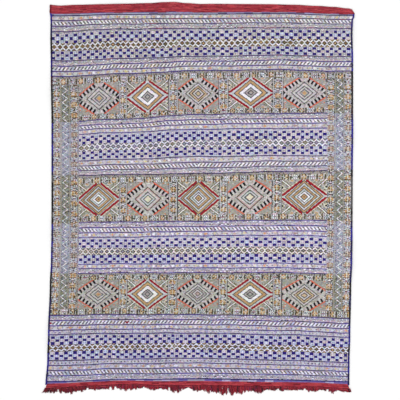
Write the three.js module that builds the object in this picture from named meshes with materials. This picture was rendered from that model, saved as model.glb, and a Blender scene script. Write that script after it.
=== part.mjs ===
// A flat-woven wool rug: one cloth with corded selvedges, and the red foot strip that carries its fringe.
// Millimetres. +X runs across the rug, +Y along it toward the plain red end, and +Z is up.
// The floor is at z = 0.

import * as THREE from 'three';

// Driving dimensions
const clothLength = 1988; // from the plain end to the foot strip, down the middle
const halfWidth = 790;
const clothThickness = 3;
const selvedgeWidth = 9;
const selvedgeThickness = 4.4;
const stripWidth = 25; // the red plain weave that holds the fringe's roots
const partingGap = 0.3; // between the cloth and the foot strip
const clothColumns = 30;
const clothRows = 38;
const locksPerColumn = 5;
const lockRootWidth = 7.4;
const lockTipWidth = 2.4;
const lockTipThickness = 1.4;
const lockTaper = 1.4; // over 1, a lock keeps its width near the root
const shortestLock = 5;
const lockShareLeast = 0.82; // each lock's length, as a share of the fall around it
const lockShareMost = 1.12;

// The two selvedges at distances down from the plain end, measured from the rug's long centre line
const selvedges = [
  { along: 0, left: -786, right: 797 },
  { along: 38, left: -790, right: 811 },
  { along: 62, left: -790, right: 811 },
  { along: 90, left: -789, right: 802 },
  { along: 160, left: -793, right: 798 },
  { along: 290, left: -787, right: 803 },
  { along: 600, left: -782, right: 803 },
  { along: 1200, left: -783, right: 799 },
  { along: 1340, left: -788, right: 798 },
  { along: 1480, left: -793, right: 792 },
  { along: 1730, left: -802, right: 787 },
  { along: 1850, left: -805, right: 783 },
  { along: clothLength + stripWidth, left: -814, right: 782 },
];

// How far the two end lines sag toward the foot, at distances across from the centre line
const headSag = [
  { across: -800, sag: 7 },
  { across: -730, sag: 12 },
  { across: -650, sag: 6 },
  { across: -420, sag: 1 },
  { across: -200, sag: -4 },
  { across: 0, sag: 0 },
  { across: 420, sag: 6 },
  { across: 560, sag: 10 },
  { across: 700, sag: 21 },
  { across: 770, sag: 31 },
  { across: 811, sag: 44 },
];
const footSag = [
  { across: -820, sag: 15 },
  { across: -735, sag: 13 },
  { across: -577, sag: 5 },
  { across: -400, sag: 0 },
  { across: -200, sag: 3 },
  { across: 0, sag: 0 },
  { across: 210, sag: 3 },
  { across: 420, sag: 7 },
  { across: 604, sag: 10 },
  { across: 790, sag: 20 },
];

// Low buckles where the laid cloth stands off the floor; each fades to nothing at its own reach
const buckles = [
  { across: 740, along: 150, reachAcross: 210, reachAlong: 130, height: 6 },
  { across: -800, along: 430, reachAcross: 190, reachAlong: 150, height: 5 },
  { across: 790, along: 700, reachAcross: 200, reachAlong: 140, height: 4 },
  { across: -430, along: 60, reachAcross: 170, reachAlong: 140, height: 4 },
  { across: -770, along: 1190, reachAcross: 210, reachAlong: 160, height: 4 },
  { across: 800, along: 1330, reachAcross: 230, reachAlong: 170, height: 6 },
  { across: -810, along: 1740, reachAcross: 200, reachAlong: 150, height: 6 },
  { across: 430, along: 1720, reachAcross: 190, reachAlong: 160, height: 3 },
];

// Length of the fringe below the foot strip, and the lean of its locks as a slope across
const fringeFall = [
  { across: -800, length: 17, lean: -0.42 },
  { across: -745, length: 22, lean: -0.2 },
  { across: -693, length: 30, lean: 0.1 },
  { across: -640, length: 22, lean: 0.16 },
  { across: -560, length: 17, lean: 0 },
  { across: -430, length: 19, lean: -0.14 },
  { across: -380, length: 31, lean: 0.1 },
  { across: -315, length: 15, lean: 0.08 },
  { across: -283, length: 9, lean: 0 },
  { across: -250, length: 24, lean: -0.1 },
  { across: -200, length: 14, lean: 0.1 },
  { across: -130, length: 32, lean: 0.16 },
  { across: -80, length: 14, lean: -0.12 },
  { across: -62, length: 5, lean: 0 },
  { across: -30, length: 26, lean: 0.12 },
  { across: 10, length: 24, lean: 0 },
  { across: 50, length: 36, lean: 0.16 },
  { across: 105, length: 42, lean: 0.04 },
  { across: 160, length: 44, lean: -0.12 },
  { across: 220, length: 34, lean: -0.1 },
  { across: 270, length: 22, lean: 0.12 },
  { across: 315, length: 34, lean: 0 },
  { across: 350, length: 13, lean: -0.1 },
  { across: 420, length: 18, lean: 0.1 },
  { across: 545, length: 14, lean: 0 },
  { across: 595, length: 24, lean: -0.12 },
  { across: 640, length: 13, lean: 0.1 },
  { across: 700, length: 22, lean: 0.14 },
  { across: 724, length: 8, lean: 0 },
  { across: 760, length: 14, lean: 0.2 },
  { across: 800, length: 17, lean: 0.3 },
];

// Reads a table's column at a place on its key column, easing from one row to the next
function tableValue(table, key, column, place) {
  const last = table.length - 1;
  if (place <= table[0][key]) return table[0][column];
  if (place >= table[last][key]) return table[last][column];
  const next = table.findIndex((row) => row[key] > place);
  const before = table[next - 1];
  const after = table[next];
  const share = THREE.MathUtils.smoothstep(place, before[key], after[key]);
  return THREE.MathUtils.lerp(before[column], after[column], share);
}

// A repeatable number from 0 to 1 for a whole-number seed
function scatter(seed) {
  const wave = Math.sin(seed * 12.9898) * 43758.5453;
  return wave - Math.floor(wave);
}

// Height of the cloth's underside above the floor
function buckleHeight(across, along) {
  let height = 0;
  for (const buckle of buckles) {
    const offAcross = (across - buckle.across) / buckle.reachAcross;
    const offAlong = (along - buckle.along) / buckle.reachAlong;
    const distance = Math.hypot(offAcross, offAlong);
    if (distance < 1) height += buckle.height * Math.cos(distance * Math.PI / 2) ** 2;
  }
  return height;
}

// Places across the cloth: three close ones over each selvedge cord, and even steps between
function acrossShares() {
  const cordSteps = [0, 0.5, 1, 1.6].map((step) => (step * selvedgeWidth) / (2 * halfWidth));
  const first = cordSteps.at(-1);
  const middle = [];
  for (let column = 1; column < clothColumns; column += 1) {
    middle.push(THREE.MathUtils.lerp(first, 1 - first, column / clothColumns));
  }
  const mirrored = cordSteps.map((share) => 1 - share).reverse();
  return [...cordSteps, ...middle, ...mirrored];
}

// Thickness at a distance in from the nearest selvedge: a round cord, then the flat web
function thicknessAt(inset) {
  if (inset >= selvedgeWidth) return clothThickness;
  const cord = Math.sin((Math.PI * inset) / selvedgeWidth);
  return clothThickness + (selvedgeThickness - clothThickness) * cord;
}

// A point of the cloth's underside, and the thickness that stands on it
function clothPoint(share, along) {
  const left = tableValue(selvedges, 'along', 'left', along);
  const right = tableValue(selvedges, 'along', 'right', along);
  const across = THREE.MathUtils.lerp(left, right, share);
  const headShare = 1 - along / clothLength;
  const head = tableValue(headSag, 'across', 'sag', across);
  const foot = tableValue(footSag, 'across', 'sag', across);
  const sag = THREE.MathUtils.lerp(foot, head, headShare);
  const inset = Math.min(across - left, right - across);
  return {
    across,
    y: -along - sag,
    z: buckleHeight(across, along),
    thickness: thicknessAt(inset),
  };
}

// Collects vertices and outward faces of one closed body
class BodyBuilder {
  constructor() {
    this.points = [];
    this.faces = [];
  }

  point(x, y, z) {
    this.points.push(x, y, z);
    return this.points.length / 3 - 1;
  }

  // Corners run anticlockwise seen from outside
  quad(a, b, c, d) {
    this.faces.push(a, b, c, a, c, d);
  }

  geometry() {
    const geometry = new THREE.BufferGeometry();
    geometry.setAttribute('position', new THREE.Float32BufferAttribute(this.points, 3));
    geometry.setIndex(this.faces);
    geometry.computeVertexNormals();
    return geometry;
  }
}

function clothGeometry() {
  const body = new BodyBuilder();
  const shares = acrossShares();
  const upper = [];
  const lower = [];
  for (let row = 0; row <= clothRows; row += 1) {
    const along = (clothLength * row) / clothRows;
    const points = shares.map((share) => clothPoint(share, along));
    upper.push(points.map((p) => body.point(p.across, p.y, p.z + p.thickness)));
    lower.push(points.map((p) => body.point(p.across, p.y, p.z)));
  }
  const last = shares.length - 1;
  for (let row = 0; row < clothRows; row += 1) {
    const below = row + 1;
    for (let column = 0; column < last; column += 1) {
      const next = column + 1;
      body.quad(upper[below][column], upper[below][next], upper[row][next], upper[row][column]);
      body.quad(lower[row][column], lower[row][next], lower[below][next], lower[below][column]);
    }
    body.quad(lower[row][0], lower[below][0], upper[below][0], upper[row][0]);
    body.quad(lower[below][last], lower[row][last], upper[row][last], upper[below][last]);
  }
  const head = { low: lower[0], high: upper[0] };
  const foot = { low: lower[clothRows], high: upper[clothRows] };
  for (let column = 0; column < last; column += 1) {
    const next = column + 1;
    body.quad(head.low[next], head.low[column], head.high[column], head.high[next]);
    body.quad(foot.low[column], foot.low[next], foot.high[next], foot.high[column]);
  }
  return body.geometry();
}

// Places along the foot strip: each lock's root lies between two of them, with a bare step on both sides
function stripStations() {
  const shares = acrossShares();
  const footPoints = shares.map((share) => clothPoint(share, clothLength));
  const locksWanted = clothColumns * locksPerColumn;
  const start = footPoints[0].across;
  const end = footPoints.at(-1).across;
  const pitch = (end - start) / locksWanted;
  const places = [start];
  for (let lock = 0; lock < locksWanted; lock += 1) {
    const middle = start + (lock + 0.5) * pitch;
    places.push(middle - lockRootWidth / 2, middle + lockRootWidth / 2);
  }
  places.push(end);
  return places.map((across) => ({ across, y: footLine(footPoints, across) }));
}

// The cloth's foot edge at a place across, straight between the cloth's own points
function footLine(footPoints, across) {
  const next = Math.max(1, footPoints.findIndex((point) => point.across >= across));
  const before = footPoints[next - 1];
  const after = footPoints[next];
  const share = (across - before.across) / (after.across - before.across);
  return THREE.MathUtils.lerp(before.y, after.y, share);
}

// One tapering four-sided lock, from its root corners on the strip's front to a blunt tip on the floor
function addLock(body, root, rootCentre, seed) {
  const length = tableValue(fringeFall, 'across', 'length', rootCentre.across);
  const lean = tableValue(fringeFall, 'across', 'lean', rootCentre.across);
  const lengthShare = THREE.MathUtils.lerp(lockShareLeast, lockShareMost, scatter(seed));
  const reach = Math.max(shortestLock, length * lengthShare);
  let before = root;
  for (const share of [0.5, 1]) {
    const width = THREE.MathUtils.lerp(lockRootWidth, lockTipWidth, share ** lockTaper);
    const thickness = THREE.MathUtils.lerp(clothThickness, lockTipThickness, share);
    const x = rootCentre.across + lean * reach * share;
    const y = rootCentre.y - reach * share;
    const ring = [
      body.point(x - width / 2, y, 0),
      body.point(x + width / 2, y, 0),
      body.point(x + width / 2, y, thickness),
      body.point(x - width / 2, y, thickness),
    ];
    for (let side = 0; side < 4; side += 1) {
      const next = (side + 1) % 4;
      body.quad(before[side], before[next], ring[next], ring[side]);
    }
    before = ring;
  }
  body.quad(before[0], before[1], before[2], before[3]);
}

function fringeGeometry() {
  const body = new BodyBuilder();
  const stations = stripStations();
  const rings = stations.map(({ across, y }) => {
    const back = y - partingGap;
    const front = y - stripWidth;
    return {
      across,
      front,
      backLow: body.point(across, back, 0),
      backHigh: body.point(across, back, clothThickness),
      frontHigh: body.point(across, front, clothThickness),
      frontLow: body.point(across, front, 0),
    };
  });
  for (let place = 0; place < rings.length - 1; place += 1) {
    const here = rings[place];
    const next = rings[place + 1];
    body.quad(here.backHigh, here.frontHigh, next.frontHigh, next.backHigh);
    body.quad(here.backLow, next.backLow, next.frontLow, here.frontLow);
    body.quad(next.backLow, here.backLow, here.backHigh, next.backHigh);
    const root = [here.frontLow, next.frontLow, next.frontHigh, here.frontHigh];
    const isLock = place % 2 === 1;
    if (isLock) {
      const rootCentre = { across: (here.across + next.across) / 2, y: (here.front + next.front) / 2 };
      addLock(body, root, rootCentre, place);
    } else {
      body.quad(...root);
    }
  }
  const first = rings[0];
  const last = rings.at(-1);
  body.quad(first.backLow, first.frontLow, first.frontHigh, first.backHigh);
  body.quad(last.frontLow, last.backLow, last.backHigh, last.frontHigh);
  return body.geometry();
}

function namedMesh(name, geometry, colour) {
  const material = new THREE.MeshStandardMaterial({ color: colour, roughness: 0.95, metalness: 0 });
  const mesh = new THREE.Mesh(geometry, material);
  mesh.name = name;
  return mesh;
}

const rug = new THREE.Group();
rug.add(namedMesh('rug', clothGeometry(), 0x9a8fa2));
rug.add(namedMesh('fringe', fringeGeometry(), 0x7c2130));

// The origin is on the floor under the middle of the whole rug, fringe included
const extent = new THREE.Box3().setFromObject(rug);
const middle = extent.getCenter(new THREE.Vector3());
rug.position.set(-middle.x, -middle.y, -extent.min.z);

export default rug;
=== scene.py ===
import bpy
import numpy as np
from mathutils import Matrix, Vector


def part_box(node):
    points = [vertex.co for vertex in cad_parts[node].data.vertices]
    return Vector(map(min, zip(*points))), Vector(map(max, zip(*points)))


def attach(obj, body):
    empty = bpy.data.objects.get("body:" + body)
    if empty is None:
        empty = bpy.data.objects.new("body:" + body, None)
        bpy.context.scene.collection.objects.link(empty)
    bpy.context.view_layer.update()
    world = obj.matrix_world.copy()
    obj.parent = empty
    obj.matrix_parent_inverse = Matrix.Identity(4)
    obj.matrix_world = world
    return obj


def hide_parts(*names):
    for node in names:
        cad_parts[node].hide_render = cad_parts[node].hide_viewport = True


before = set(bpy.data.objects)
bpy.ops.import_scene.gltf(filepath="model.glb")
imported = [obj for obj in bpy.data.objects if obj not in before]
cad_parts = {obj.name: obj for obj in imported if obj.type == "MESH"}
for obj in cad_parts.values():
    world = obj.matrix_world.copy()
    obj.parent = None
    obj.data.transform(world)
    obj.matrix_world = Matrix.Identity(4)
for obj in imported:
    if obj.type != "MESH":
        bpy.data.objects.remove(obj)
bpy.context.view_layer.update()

# A flat-woven wool rug laid on a floor: the ground cloth, the patterned weft that shows on it in seven
# bands with a plain red end, two corded selvedges, and the red foot strip with its fringe of yarns.
# The dictionaries are in millimetres: u runs across from the rug's long middle line, v runs down from
# the plain end, and z is the height over the floor.

millimetre = 0.001
rng = np.random.default_rng(1401)

# How the cloth lies

cloth = {
    "length": 1988,          # from the plain end to the foot strip
    "left": -786,            # the pattern's own edges, before the unevenness of the selvedges
    "right": 800,
    "flatWidth": 1585,       # the mean width between the selvedges
    "groundThickness": 2.1,
    "faceThickness": 0.75,   # the patterned weft over the ground
    "faceSunk": 0.25,        # how far below that its darkest floats lie
    "backSunk": 0.15,        # how far its hidden back lies in the ground
    "partingGap": 0.3,       # between the cloth and the foot strip
    "stripWidth": 25,
    "flareStart": 745,       # beyond this the two corners of the foot flare out
    "flareReach": 50,
    "flare": 0.42,
    "widestRight": 811,      # the part's own tables reach this far right
    "highestEnd": 3.9,       # and this far past the plain end
}
# faint waves all over: for each way a wave's length over 2 pi, how far it wanders, and over what length
ripple = {
    "height": 0.35,          # half the height of a wave
    "across": (47, 0.8, 90),
    "along": (61, 0.9, 130),
}
# how a hand-beaten line strays up and down: waves as above, each with a start, that fade at both ends
stray = {
    "height": 1.7,
    "waves": [(27, 2.1, 170, 0), (61, 1.7, 90, 1)],
    "from": 50,
    "to": 1985,
    "fade": 60,
}
selvedgeLine = {
    "along": [0, 38, 62, 90, 160, 290, 600, 1200, 1340, 1480, 1730, 1850, 2013],
    "left": [-789, -790, -786, -785, -786, -784, -780, -780, -783, -789, -798, -802, -813],
    "right": [800, 812, 811, 803, 800, 804, 804, 801, 799, 794, 789, 785, 784],
}
headSag = {
    "across": [-800, -735, -650, -514, -400, -262, -190, -136, -73, 10, 60, 210, 367, 493, 620, 700,
               777, 811],
    "sag": [11, 16, 12, 9, 7, 3, -2, -3, 3, 8, 7, 8, 9, 12, 18, 23, 31, 40],
}
footSag = {
    "across": [-820, -735, -577, -400, -200, 0, 210, 420, 604, 790],
    "sag": [18, 15, 6, -2, 4, 4, 7, 10, 11, 21],
}
# how far the woven lines sag toward the foot, against their height on the middle line
bandBow = {
    "across": [-735, -420, 0, 420, 760],
    "lines": [
        {"along": 58, "sag": [12, 5, 3, 1, 10]},
        {"along": 133, "sag": [20, 6, 3, -1, 4]},
        {"along": 281, "sag": [26, 14, 2, -4, 5]},
        {"along": 355, "sag": [34, 19, 2, -3, 6]},
        {"along": 586, "sag": [43, 27, 2, -3, -5]},
        {"along": 663, "sag": [34, 19, 2, -2, -4]},
        {"along": 806, "sag": [28, 18, 3, -2, -1]},
        {"along": 894, "sag": [14, 9, 3, -7, -15]},
        {"along": 1147, "sag": [12, 5, 2, -4, -1]},
        {"along": 1222, "sag": [14, 9, 2, -1, 7]},
        {"along": 1367, "sag": [8, 5, 3, 1, 9]},
        {"along": 1636, "sag": [6, 2, 3, 9, 22]},
        {"along": 1863, "sag": [16, 8, 4, 15, 26]},
        {"along": 1972, "sag": [18, 7, 3, 8, 18]},
    ],
}
buckles = [
    {"across": 740, "along": 150, "reachAcross": 210, "reachAlong": 130, "height": 6},
    {"across": -800, "along": 430, "reachAcross": 190, "reachAlong": 150, "height": 5},
    {"across": 790, "along": 700, "reachAcross": 200, "reachAlong": 140, "height": 4},
    {"across": -430, "along": 60, "reachAcross": 170, "reachAlong": 140, "height": 4},
    {"across": -770, "along": 1190, "reachAcross": 210, "reachAlong": 160, "height": 4},
    {"across": 800, "along": 1330, "reachAcross": 230, "reachAlong": 170, "height": 6},
    {"across": -810, "along": 1740, "reachAcross": 200, "reachAlong": 150, "height": 6},
    {"across": 430, "along": 1720, "reachAcross": 190, "reachAlong": 160, "height": 3},
]
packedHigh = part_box("rug")[1]
shiftX = packedHigh.x - cloth["widestRight"] * millimetre
shiftY = packedHigh.y - cloth["highestEnd"] * millimetre


# the station after each place, and the share of the way there from the one before
def between(place, stations):
    stations = np.asarray(stations, float)
    inside = np.clip(place, stations[0], stations[-1])
    after = np.clip(np.searchsorted(stations, inside, side="right"), 1, len(stations) - 1)
    return after, (inside - stations[after - 1]) / (stations[after] - stations[after - 1])


# value between two stations = before + (after - before) * (3 s^2 - 2 s^3), s the share of the way
def eased(place, stations, values):
    after, share = between(place, stations)
    values = np.asarray(values, float)
    share = share * share * (3 - 2 * share)
    return values[after - 1] + (values[after] - values[after - 1]) * share


# sag of a woven line = eased across each measured line, and straight from one line to the next
def sagOf(u, v):
    sags = [eased(u, headSag["across"], headSag["sag"])]
    sags += [eased(u, bandBow["across"], line["sag"]) for line in bandBow["lines"]]
    sags += [eased(u, footSag["across"], footSag["sag"])]
    sags = np.array(sags)
    after, share = between(v, [0] + [line["along"] for line in bandBow["lines"]] + [cloth["length"]])
    before = np.take_along_axis(sags, (after - 1)[None], 0)[0]
    following = np.take_along_axis(sags, after[None], 0)[0]
    wave = 0
    for long, turn, over, start in stray["waves"]:
        wave = wave + np.sin(u / long + turn * np.sin(v / over + start))
    inner = np.clip(np.minimum(v - stray["from"], stray["to"] - v) / stray["fade"], 0, 1)
    return before + (following - before) * share + stray["height"] / 2 * wave * inner


# height of the underside = buckles that fade as the squared cosine of the distance, plus faint waves
def liftOf(x, v):
    lift = np.zeros(np.shape(x))
    for buckle in buckles:
        offAcross = (x - buckle["across"]) / buckle["reachAcross"]
        offAlong = (v - buckle["along"]) / buckle["reachAlong"]
        distance = np.minimum(np.hypot(offAcross, offAlong), 1)
        lift = lift + buckle["height"] * np.cos(distance * np.pi / 2) ** 2
    long, turn, over = ripple["across"]
    wave = np.sin(x / long + turn * np.sin(v / over))
    long, turn, over = ripple["along"]
    wave = wave * np.sin(v / long + turn * np.sin(x / over))
    return lift + ripple["height"] * (1 + wave)


# a point of the laid cloth, in metres: u and v as woven, z over the underside
def layPoint(u, v, z):
    u, v, z = np.broadcast_arrays(np.asarray(u, float), np.asarray(v, float), np.asarray(z, float))
    share = (u - cloth["left"]) / (cloth["right"] - cloth["left"])
    left = eased(v, selvedgeLine["along"], selvedgeLine["left"])
    right = eased(v, selvedgeLine["along"], selvedgeLine["right"])
    x = left + (right - left) * share
    # past the cloth's foot the two corners flare out
    outer = np.clip((np.abs(u) - cloth["flareStart"]) / cloth["flareReach"], 0, 1)
    x = x + np.sign(u) * cloth["flare"] * outer ** 2 * np.maximum(v - cloth["length"], 0)
    y = -(v + sagOf(x, v))
    height = z + liftOf(x, v)
    return np.stack([x * millimetre + shiftX, y * millimetre + shiftY, height * millimetre], axis=-1)


# The dyed yarns, as sRGB from 0 to 255

dyes = {
    "white": (244, 242, 246),
    "frost": (204, 207, 210),
    "offWhite": (206, 200, 200),
    "cream": (224, 216, 196),
    "paleBlue": (186, 196, 216),
    "mist": (174, 178, 198),
    "lilac": (178, 170, 202),
    "greyLilac": (156, 149, 170),
    "steel": (142, 148, 158),
    "ash": (176, 170, 168),
    "rose": (196, 166, 166),
    "blush": (174, 148, 134),
    "clay": (146, 122, 110),
    "indigo": (38, 26, 112),
    "royal": (44, 36, 140),
    "navy": (32, 28, 76),
    "violet": (112, 102, 158),
    "purple": (66, 40, 98),
    "deepPurple": (44, 14, 72),
    "inkViolet": (64, 46, 124),
    "plum": (116, 108, 132),
    "black": (22, 18, 24),
    "slate": (84, 82, 84),
    "olive": (112, 102, 72),
    "darkOlive": (66, 58, 42),
    "brown": (134, 100, 66),
    "tan": (196, 158, 114),
    "sand": (204, 180, 148),
    "amber": (210, 156, 104),
    "orange": (204, 120, 76),
    "yellow": (216, 196, 142),
    "crimson": (148, 22, 38),
    "maroon": (116, 26, 62),
    "coral": (222, 92, 68),
    "sage": (150, 154, 142),
    "greige": (164, 156, 142),
    "red": (157, 46, 58),
    "brightRed": (184, 68, 76),
    "darkRed": (118, 24, 40),
    "nearBlack": (50, 14, 24),
}
dyeNames = list(dyes)


# a dye's place in that list
def dyeNumber(name):
    return dyeNames.index(name)


# a repeatable number from 0 to 1 for two whole numbers: the fraction of a large sine
def scatter(first, second=0):
    mixed = np.asarray(first, float) * 12.9898 + np.asarray(second, float) * 78.233
    wave = np.sin(mixed) * 43758.5453
    return wave - np.floor(wave)


# that number for every cell of the given width and height
def chanceOf(u, v, width, height, key=0):
    return scatter(np.floor(u / width) + key, np.floor(v / height))


# one of the named dyes for each pair of whole numbers
def pick(names, first, second=0):
    chosen = np.array([dyeNumber(name) for name in names])
    place = (scatter(first, second) * len(names)).astype(int)
    return chosen[np.clip(place, 0, len(names) - 1)]


grain = {"width": 5, "height": 4}            # a short length of yarn in a mixed ground
yarnCell = {"width": 3.4, "height": 3}       # one pass of yarn


# mixed yarns in short lengths, as wide and as high as given
def mixedGround(names, u, v, width=grain["width"], height=grain["height"]):
    return pick(names, np.floor(u / width), np.floor(v / height))


# triangle wave from -1 to 1
def zigzag(x, period):
    return 4 * np.abs(x / period - np.floor(x / period + 0.5)) - 1


# distance from the nearest repeat's middle, and that repeat's number
def repeat(x, pitch):
    number = np.floor(x / pitch + 0.5)
    return x - number * pitch, number


# how large a lozenge round the middle passes through x, y, as a share of the one a by b: |x|/a + |y|/b
def lozenge(x, y, a, b):
    return np.abs(x) / a + np.abs(y) / b


# puts a dye, or an array of dyes, where the mask says
def paint(web, where, dye):
    web[where] = dyeNumber(dye) if isinstance(dye, str) else np.broadcast_to(dye, web.shape)[where]


# The repeats follow the set of the warp, closer in some places than in others:
# where across the rug each of these counts of blocks has its middle
warpSet = {
    "pitch": 46.06,
    "across": [-1050, -757, -614, -438, -263, -81, 100, 292, 487, 629, 762, 1050],
    "blocks": [-23.15, -17, -14, -10, -6, -2, 2, 6, 10, 13, 16, 22.5],
}
# how much further right the blocks of each field come, at each place across
drift = {
    "across": [-700, -350, 0, 650],
    "first": [10, -6, -8, -8],
    "second": [0, -4, 0, 0],
    "third": [2, -2, -2, 3],
    "thirdLower": [10, 6, 5, 3],
    "fourth": [-3, 2, -6, -6],
}


# the evened place across = pitch * blocks counted to u - drift, straight between the stations
def evened(u, field=None):
    if field:
        u = u - np.interp(u, drift["across"], drift[field])
    return np.interp(u, warpSet["across"], warpSet["blocks"]) * warpSet["pitch"]


# Small star motifs, charted one letter a yarn

chartDyes = {
    "W": "white", "F": "offWhite", "Y": "cream", "B": "paleBlue", "E": "greige", "P": "rose", "T": "tan",
    "N": "brown", "G": "olive", "D": "darkOlive", "U": "steel", "S": "slate", "R": "maroon",
}
# each row is charted from its edge to its middle letter, and the stars of a row down to their middle row
starRows = {
    "warm": ["SFDNT", "GFNTY", "SFTTY", "DETYR"],
    "olive": ["SFGST", "GFSTY", "SFDTN", "DETYG"],
    "cool": ["SFSUF", "GFUWS", "SFSBF", "DEWSU"],
    "maroon": ["SFSPF", "GFUWS", "SFSBR", "DEPRP"],
}
starColumns = {
    "warm": ["SNTY", "FTTY", "NTNF", "FTTY", "SNDE"],
    "cool": ["UFSF", "SUFW", "FBSR", "SUFP", "UFSF"],
}


# a list or a word, and then its mirror image, with the middle one once
def mirrored(half):
    return half + half[-2::-1]


# the chart's dye at x, y inside a motif of the given size
def chart(rows, x, y, width, height):
    table = np.array([[dyeNumber(chartDyes[letter]) for letter in mirrored(row)] for row in rows])
    column = np.floor(x / width * table.shape[1]).astype(int) % table.shape[1]
    row = np.clip(np.floor(y / height * table.shape[0]).astype(int), 0, table.shape[0] - 1)
    return table[row, column]


# The kinds of narrow band: each takes u, v, the band's top and foot, and what bandPlan gives it

spots = {
    "halfWidth": 9.2,
    "halfHeight": 6.4,
    "rim": 1.3,              # the sizes of the spots, as shares of that lozenge
    "warmSize": 1.15,
    "smallSize": 0.9,
    "filled": 0.78,          # the share of a spot's cells that took its dye
    "speckHalfWidth": 2.6,
    "speckHalfHeight": 2.2,
    "tickIn": 0.5,
    "tickUp": 2.6,
    "tickHalf": 1.8,
    "ground": ["greyLilac", "offWhite", "ash", "lilac", "frost", "offWhite", "frost"],
    "white": ["white", "frost", "offWhite"],
    "warm": ["yellow", "tan", "blush", "sand", "yellow", "amber", "cream", "amber"],
    "ticks": ["greige", "plum", "greyLilac", "clay"],
}


# white and warm spots in turn, lozenges |x|/a + |y|/b < 1, with small ticks between them
def spotsBand(u, v, top, foot, pitch, start, warm=spots["warm"], dark=None):
    y = v - top
    middle = y - (foot - top) / 2
    web = mixedGround(spots["ground"], u, y)
    x, number = repeat(evened(u) - start, pitch / 2)
    isWhite = np.mod(number, 2) == 0
    shape = lozenge(x, middle, spots["halfWidth"], spots["halfHeight"])
    if dark:   # pairs of small dark specks on either side of a pale one
        paint(web, isWhite & (shape < spots["smallSize"]), "offWhite")
        speck = np.abs(np.abs(x) - pitch / 4) < spots["speckHalfWidth"]
        paint(web, speck & (np.abs(middle) < spots["speckHalfHeight"]), pick(dark, number, 6))
        return web
    filled = chanceOf(u, y, yarnCell["width"], yarnCell["height"], 9) < spots["filled"]
    paint(web, isWhite & (shape < spots["rim"]), "offWhite")
    paint(web, isWhite & (shape < 1) & filled, pick(spots["white"], number, 2))
    paint(web, ~isWhite & (shape < spots["warmSize"]) & filled, pick(warm, number))
    tick = np.abs(np.abs(x) - pitch / 4 + spots["tickIn"]) < spots["tickHalf"]
    tick = tick & (np.abs(np.abs(middle) - spots["tickUp"]) < spots["tickHalf"])
    paint(web, tick, pick(spots["ticks"], number, 4))
    return web


slants = {
    "pitch": 18.85,
    "run": 0.8,              # how far a stroke moves across for each step down
    "darkShare": 0.27,
    "whiteShare": 0.40,
    "margin": 5.0,
    "marginGrain": 9,
    "turnAt": -16,           # where a band without a turn of its own changes direction
    "tinted": ["ash", "sand", "steel", "sage", "greyLilac", "offWhite", "tan"],
    "white": ["white", "white", "frost", "white", "paleBlue", "white"],
    "dark": ["slate", "slate", "plum", "darkOlive", "purple", "slate"],
    "edge": ["offWhite", "ash", "lilac", "offWhite"],
}


# slanting strokes: the share of (w + turn * run * y - start) / pitch tells dark, white and tinted apart
def slantBand(u, v, top, foot, turn, start):
    y = v - top
    height = foot - top
    turn = turn or np.where(u < slants["turnAt"], -1, 1)
    run = turn * slants["run"] * (y - height / 2)
    q = (evened(u) + run - start) / slants["pitch"] + 0.5
    number = np.floor(q)
    share = q - number
    web = pick(slants["tinted"], number, 3)
    paint(web, np.abs(share - 0.5) < slants["whiteShare"] / 2, pick(slants["white"], number, 5))
    dark = (share < slants["darkShare"] / 2) | (share > 1 - slants["darkShare"] / 2)
    paint(web, dark, pick(slants["dark"], np.floor(q + 0.5), 7))
    margin = (y < slants["margin"]) | (y > height - slants["margin"])
    paint(web, margin, mixedGround(slants["edge"], u, y, slants["marginGrain"]))
    return web


chevrons = {
    "period": 15,
    "rise": 2.6,
    "halfWidth": 1.4,
    "lines": [(-5.5, "steel"), (0, "greige"), (5.5, "rose")],
    "grain": 7,
    "ground": ["greyLilac", "offWhite", "ash", "lilac", "mist", "offWhite", "frost"],
    "fleckWidth": 5,
    "flecks": [(3.2, 0.90, "slate"), (4, 0.91, "white")],   # height, least chance, dye
}


# quiet ground with faint chevron lines: the distance of y from each line's triangle wave
def fineBand(u, v, top, foot):
    y = v - top
    web = mixedGround(chevrons["ground"], u, y, chevrons["grain"])
    wave = zigzag(u, chevrons["period"]) * chevrons["rise"]
    for offset, name in chevrons["lines"]:
        paint(web, np.abs(y - (foot - top) / 2 - offset - wave) < chevrons["halfWidth"], name)
    for height, least, name in chevrons["flecks"]:
        paint(web, chanceOf(u, y, chevrons["fleckWidth"], height) > least, name)
    return web


blocks = {
    "halfWidth": 9.3,
    "halfHeight": 6.5,
    "spread": 0.10,          # how much their widths differ
    "rimHalfWidth": 1.7,
    "rimHalfHeight": 5.5,
    "oddDyes": [(0, "purple"), (5, "navy")],   # in a few cells of a block
    "oddChance": 0.92,
    "paleHalfWidth": 10.5,
    "paleHalfHeight": 6.8,
    "pale": ["paleBlue", "offWhite", "mist", "offWhite", "paleBlue", "ash"],
    "speckOut": 4.4,
    "speckHalfWidth": 1.9,
    "speckHalfHeight": 2.1,
    "specks": ["plum", "rose", "steel", "greyLilac", "clay"],
    "glintUp": 4.6,
    "glintHalfWidth": 2.2,
    "glintHalfHeight": 1.8,
}


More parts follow.
